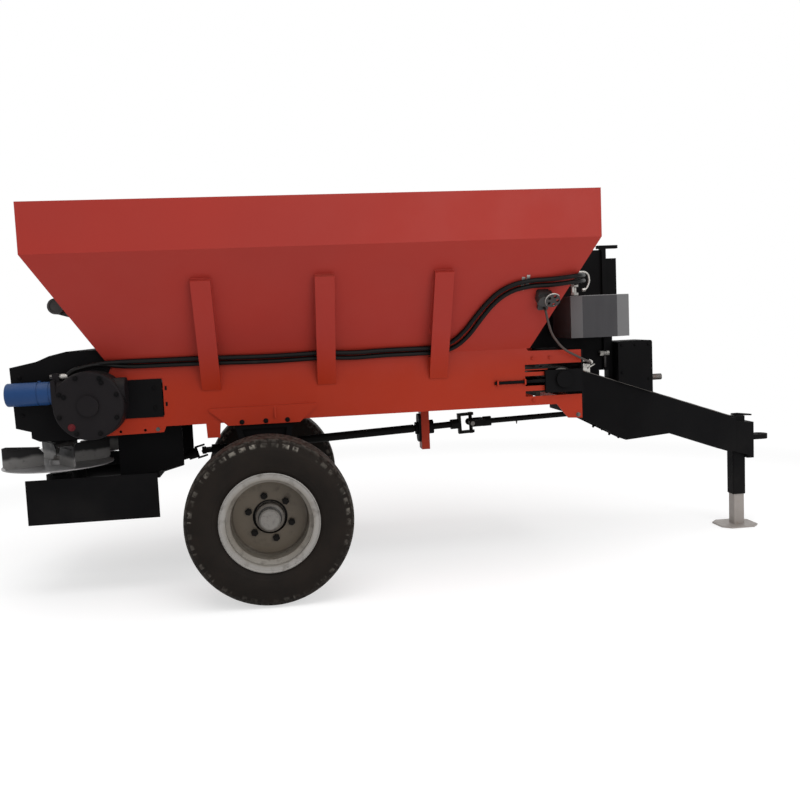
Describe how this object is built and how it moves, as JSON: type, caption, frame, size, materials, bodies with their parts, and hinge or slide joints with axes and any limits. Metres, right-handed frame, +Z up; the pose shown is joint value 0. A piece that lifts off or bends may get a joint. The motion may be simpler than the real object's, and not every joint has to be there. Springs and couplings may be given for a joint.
{
  "type": "towed twin disc manure spreader",
  "caption": "Towed farm spreader: sloped hopper over a floor conveyor, rear discharge hood, horizontal spinner discs, box drawbar with jack, road wheels and a drive line to the tractor",
  "frame": {"origin": "on the ground, at the middle of the overall length and width", "axes": "+X forward to the tow eye, +Y to the left of the machine, +Z up"},
  "size_m": [4.158, 1.7174, 1.844],
  "materials": {
    "red": "gloss orange-red paint, dusty in the corners",
    "black": "satin black paint",
    "grey": "satin mid-grey paint",
    "blue": "satin blue paint",
    "silver": "silver wheel paint",
    "hub_steel": "dark silver paint, worn on the cap",
    "shaft_paint": "worn black paint on forged steel",
    "shaft_steel": "bare turned steel",
    "bright_steel": "zinc plated fittings",
    "stainless": "stainless sheet, brushed",
    "leg_steel": "galvanised square tube",
    "dark_steel": "dark oiled steel",
    "belt": "ribbed conveyor rubber",
    "hose": "black hydraulic hose",
    "tyre": "dusty black rubber"
  },
  "bodies": {
    "chassis": {"hopper_collar": "red", "hopper_side_right": "red", "hopper_side_left": "red", "hopper_front_slope": "red", "hopper_rear_slope": "red", "hopper_ribs": "red", "rear_tube": "dark_steel", "chassis_side_right": "red", "chassis_side_left": "red", "chassis_crossmembers": "red", "axle": "black", "axle_brackets": "red", "conveyor_belt": "belt", "conveyor_floor": "red", "conveyor_rollers": "shaft_steel", "takeup_bearings": "black", "discharge_hood": "black", "conveyor_reducer": "black", "hydraulic_motor": "blue", "spinner_hangers": "black", "spinner_guard": "black", "spinner_gearbox": "black", "shaft_bracket": "red", "shaft_bearing": "black", "drawbar": "black", "tow_hitch": "black", "jack_tube": "black", "pto_gearbox": "black", "front_panel": "black", "oil_tank": "grey", "flow_valve": "dark_steel", "side_hoses": "hose", "supply_pipe": "dark_steel", "hose_couplers": "bright_steel", "hose_clamps": "bright_steel"},
    "wheel_right": {"tyre_right": "tyre", "rim_right": "silver", "hub_right": "hub_steel"},
    "wheel_left": {"tyre_left": "tyre", "rim_left": "silver", "hub_left": "hub_steel"},
    "spinner_disc_right": {"spinner_right": "stainless", "vanes_right": "dark_steel"},
    "spinner_disc_left": {"spinner_left": "stainless", "vanes_left": "dark_steel"},
    "long_shaft": {"main_shaft": "shaft_paint"},
    "forward_shaft": {"front_shaft": "shaft_paint"},
    "aft_shaft": {"rear_shaft": "shaft_paint"},
    "input_stub": {"pto_stub": "shaft_steel"},
    "jack_slide": {"jack_leg": "leg_steel"}
  },
  "joints": [
    {"name": "wheel_right_spin", "type": "hinge", "parent": "chassis", "child": "wheel_right", "pos_m": [-0.794, -0.73, 0.3875], "axis": [0, 1, 0], "continuous": true},
    {"name": "wheel_left_spin", "type": "hinge", "parent": "chassis", "child": "wheel_left", "pos_m": [-0.794, 0.73, 0.3875], "axis": [0, 1, 0], "continuous": true},
    {"name": "spinner_right_spin", "type": "hinge", "parent": "chassis", "child": "spinner_disc_right", "pos_m": [-1.819, -0.29, 0.636], "axis": [0, 0, 1], "continuous": true},
    {"name": "spinner_left_spin", "type": "hinge", "parent": "chassis", "child": "spinner_disc_left", "pos_m": [-1.819, 0.29, 0.636], "axis": [0, 0, 1], "continuous": true},
    {"name": "long_shaft_spin", "type": "hinge", "parent": "chassis", "child": "long_shaft", "pos_m": [0.321, 0, 0.69], "axis": [0.999, 0, 0.0445], "continuous": true},
    {"name": "forward_shaft_spin", "type": "hinge", "parent": "chassis", "child": "forward_shaft", "pos_m": [1.096, 0, 0.713], "axis": [0.9996, 0, 0.0297], "continuous": true},
    {"name": "aft_shaft_spin", "type": "hinge", "parent": "chassis", "child": "aft_shaft", "pos_m": [-1.264, 0, 0.592], "axis": [0.9669, 0, 0.2553], "continuous": true},
    {"name": "input_stub_spin", "type": "hinge", "parent": "chassis", "child": "input_stub", "pos_m": [1.342, 0, 0.89], "axis": [1, 0, 0], "continuous": true},
    {"name": "jack_leg_slide", "type": "slide", "parent": "chassis", "child": "jack_slide", "axis": [0, 0, 1], "range_m": [0, 0.16]}
  ],
  "couplings": [
    {"joint": "spinner_left_spin", "follows": "spinner_right_spin", "ratio": -1},
    {"joint": "long_shaft_spin", "follows": "spinner_right_spin", "ratio": 1},
    {"joint": "forward_shaft_spin", "follows": "spinner_right_spin", "ratio": 1},
    {"joint": "aft_shaft_spin", "follows": "spinner_right_spin", "ratio": 1},
    {"joint": "input_stub_spin", "follows": "spinner_right_spin", "ratio": 1}
  ]
}
